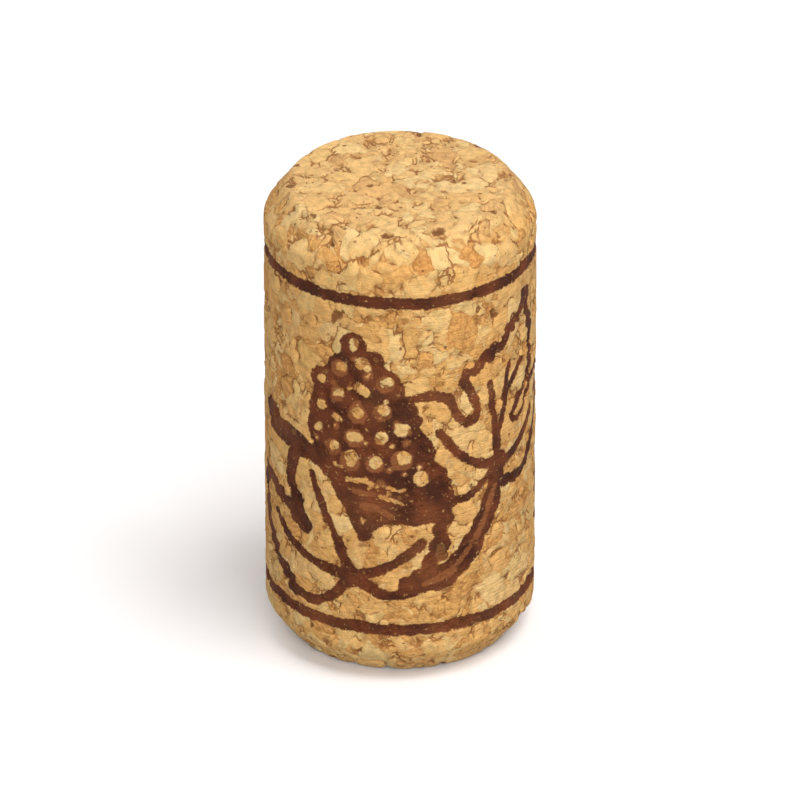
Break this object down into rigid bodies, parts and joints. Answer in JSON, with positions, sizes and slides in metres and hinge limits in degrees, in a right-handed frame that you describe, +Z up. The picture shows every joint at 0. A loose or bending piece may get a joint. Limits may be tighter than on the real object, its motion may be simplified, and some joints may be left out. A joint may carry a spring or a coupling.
{
  "type": "wine cork",
  "caption": "Straight cylindrical stopper of pressed cork granules with a chamfer at each end, which stands on its flat end and presses into a bottle's neck.",
  "frame": {"origin": "middle of the lower end, on the surface that the cork stands on", "axes": "+Z up along the cork's own axis; the printed grape bunch faces -Y"},
  "size_m": [0.022, 0.022, 0.04],
  "materials": {
    "cork": "matte, ground and tumbled granules, with print stamped on the side"
  },
  "bodies": {
    "root": {"cork": "cork"}
  },
  "joints": []
}
